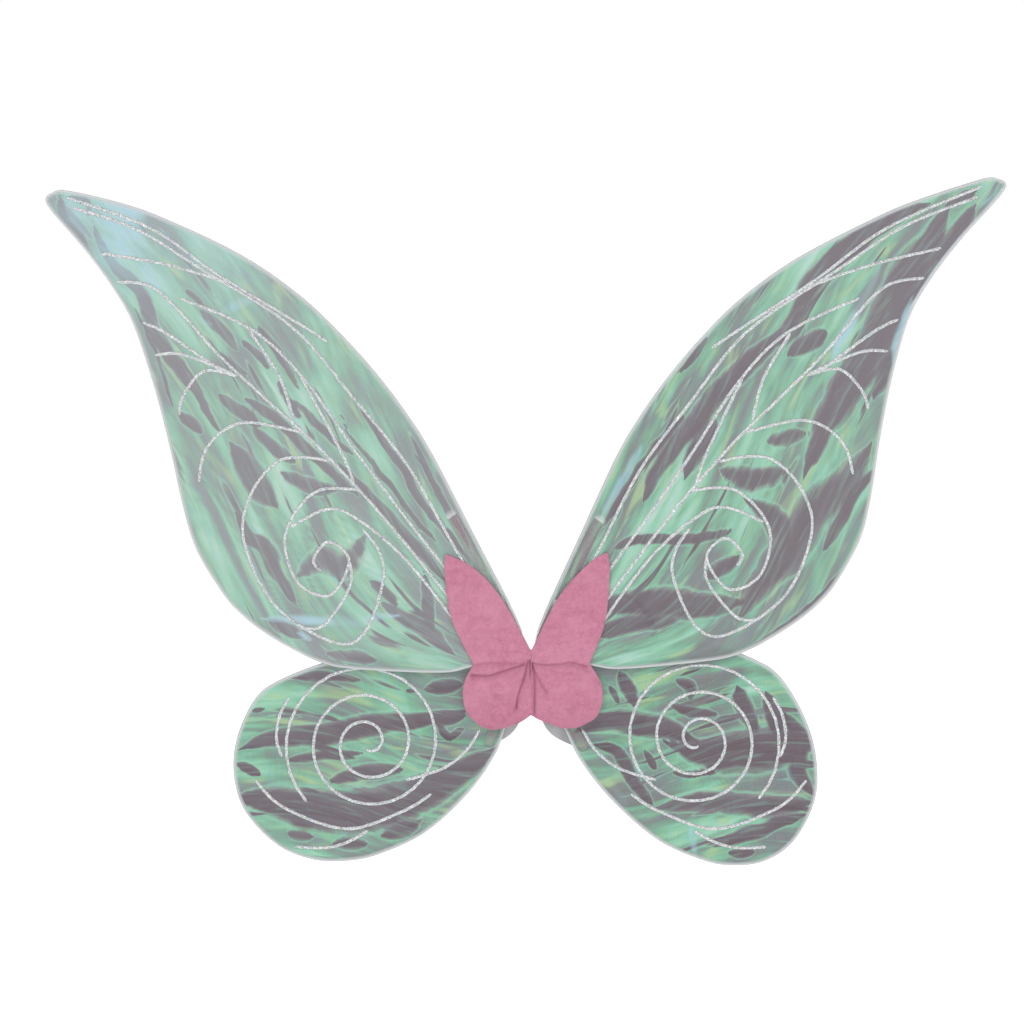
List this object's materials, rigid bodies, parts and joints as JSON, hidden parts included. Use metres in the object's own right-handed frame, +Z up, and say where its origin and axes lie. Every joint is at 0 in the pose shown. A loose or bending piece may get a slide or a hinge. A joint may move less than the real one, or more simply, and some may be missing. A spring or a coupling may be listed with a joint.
{
  "type": "fairy wings",
  "caption": "Wearable fairy wings: wire-framed iridescent film wings with glitter veins on a folding felt butterfly hub, with elastic shoulder loops.",
  "frame": {"origin": "on the wearer's face of the back pad, where the fold line crosses the butterfly's waist", "axes": "+Z up, +X to the right-hand wing seen from the decorated side, +Y towards the wearer"},
  "size_m": [0.9039, 0.0721, 0.6481],
  "materials": {
    "wire": "satin",
    "film_front": "glossy iridescent",
    "film_back": "glossy iridescent",
    "glitter": "sparkling",
    "felt": "felt",
    "felt_pad": "felt",
    "plate": "matte",
    "thread": "matte",
    "eyelet": "satin",
    "elastic": "ribbed woven"
  },
  "bodies": {
    "hub": {"back_pad": "felt_pad", "spine_strip": "felt", "spine_thread": "thread", "strap_tabs": "elastic"},
    "left_wing": {"left_upper_wire": "wire", "left_upper_film_front": "film_front", "left_upper_film_back": "film_back", "left_upper_glitter": "glitter", "left_hub_plate": "plate", "left_front_cover": "felt", "left_back_cover": "felt", "left_wire_ties": "thread", "left_pivot_eyelet": "eyelet"},
    "left_lower_wing": {"left_lower_wire": "wire", "left_lower_film_front": "film_front", "left_lower_film_back": "film_back", "left_lower_glitter": "glitter", "left_lower_tongue": "plate"},
    "left_strap_loop": {"left_strap": "elastic"},
    "right_wing": {"right_upper_wire": "wire", "right_upper_film_front": "film_front", "right_upper_film_back": "film_back", "right_upper_glitter": "glitter", "right_hub_plate": "plate", "right_front_cover": "felt", "right_back_cover": "felt", "right_wire_ties": "thread", "right_pivot_eyelet": "eyelet"},
    "right_lower_wing": {"right_lower_wire": "wire", "right_lower_film_front": "film_front", "right_lower_film_back": "film_back", "right_lower_glitter": "glitter", "right_lower_tongue": "plate"},
    "right_strap_loop": {"right_strap": "elastic"}
  },
  "joints": [
    {"name": "left_wing_fold", "type": "hinge", "parent": "hub", "child": "left_wing", "pos_m": [0, -0.0139, 0], "axis": [0, 0, 1], "range_deg": [0, 80]},
    {"name": "left_lower_swivel", "type": "hinge", "parent": "left_wing", "child": "left_lower_wing", "pos_m": [-0.014, -0.0055, -0.014], "axis": [0, 1, 0], "range_deg": [-8, 55]},
    {"name": "left_strap_swing", "type": "hinge", "parent": "hub", "child": "left_strap_loop", "pos_m": [-0.012, -0.0012, 0], "axis": [0, 0, -1], "range_deg": [0, 60], "stiffness_Nm_per_rad": 0.02},
    {"name": "right_wing_fold", "type": "hinge", "parent": "hub", "child": "right_wing", "pos_m": [0, -0.0139, 0], "axis": [0, 0, -1], "range_deg": [0, 80]},
    {"name": "right_lower_swivel", "type": "hinge", "parent": "right_wing", "child": "right_lower_wing", "pos_m": [0.014, -0.0055, -0.014], "axis": [0, -1, 0], "range_deg": [-8, 55]},
    {"name": "right_strap_swing", "type": "hinge", "parent": "hub", "child": "right_strap_loop", "pos_m": [0.012, -0.0012, 0], "axis": [0, 0, 1], "range_deg": [0, 60], "stiffness_Nm_per_rad": 0.02}
  ]
}
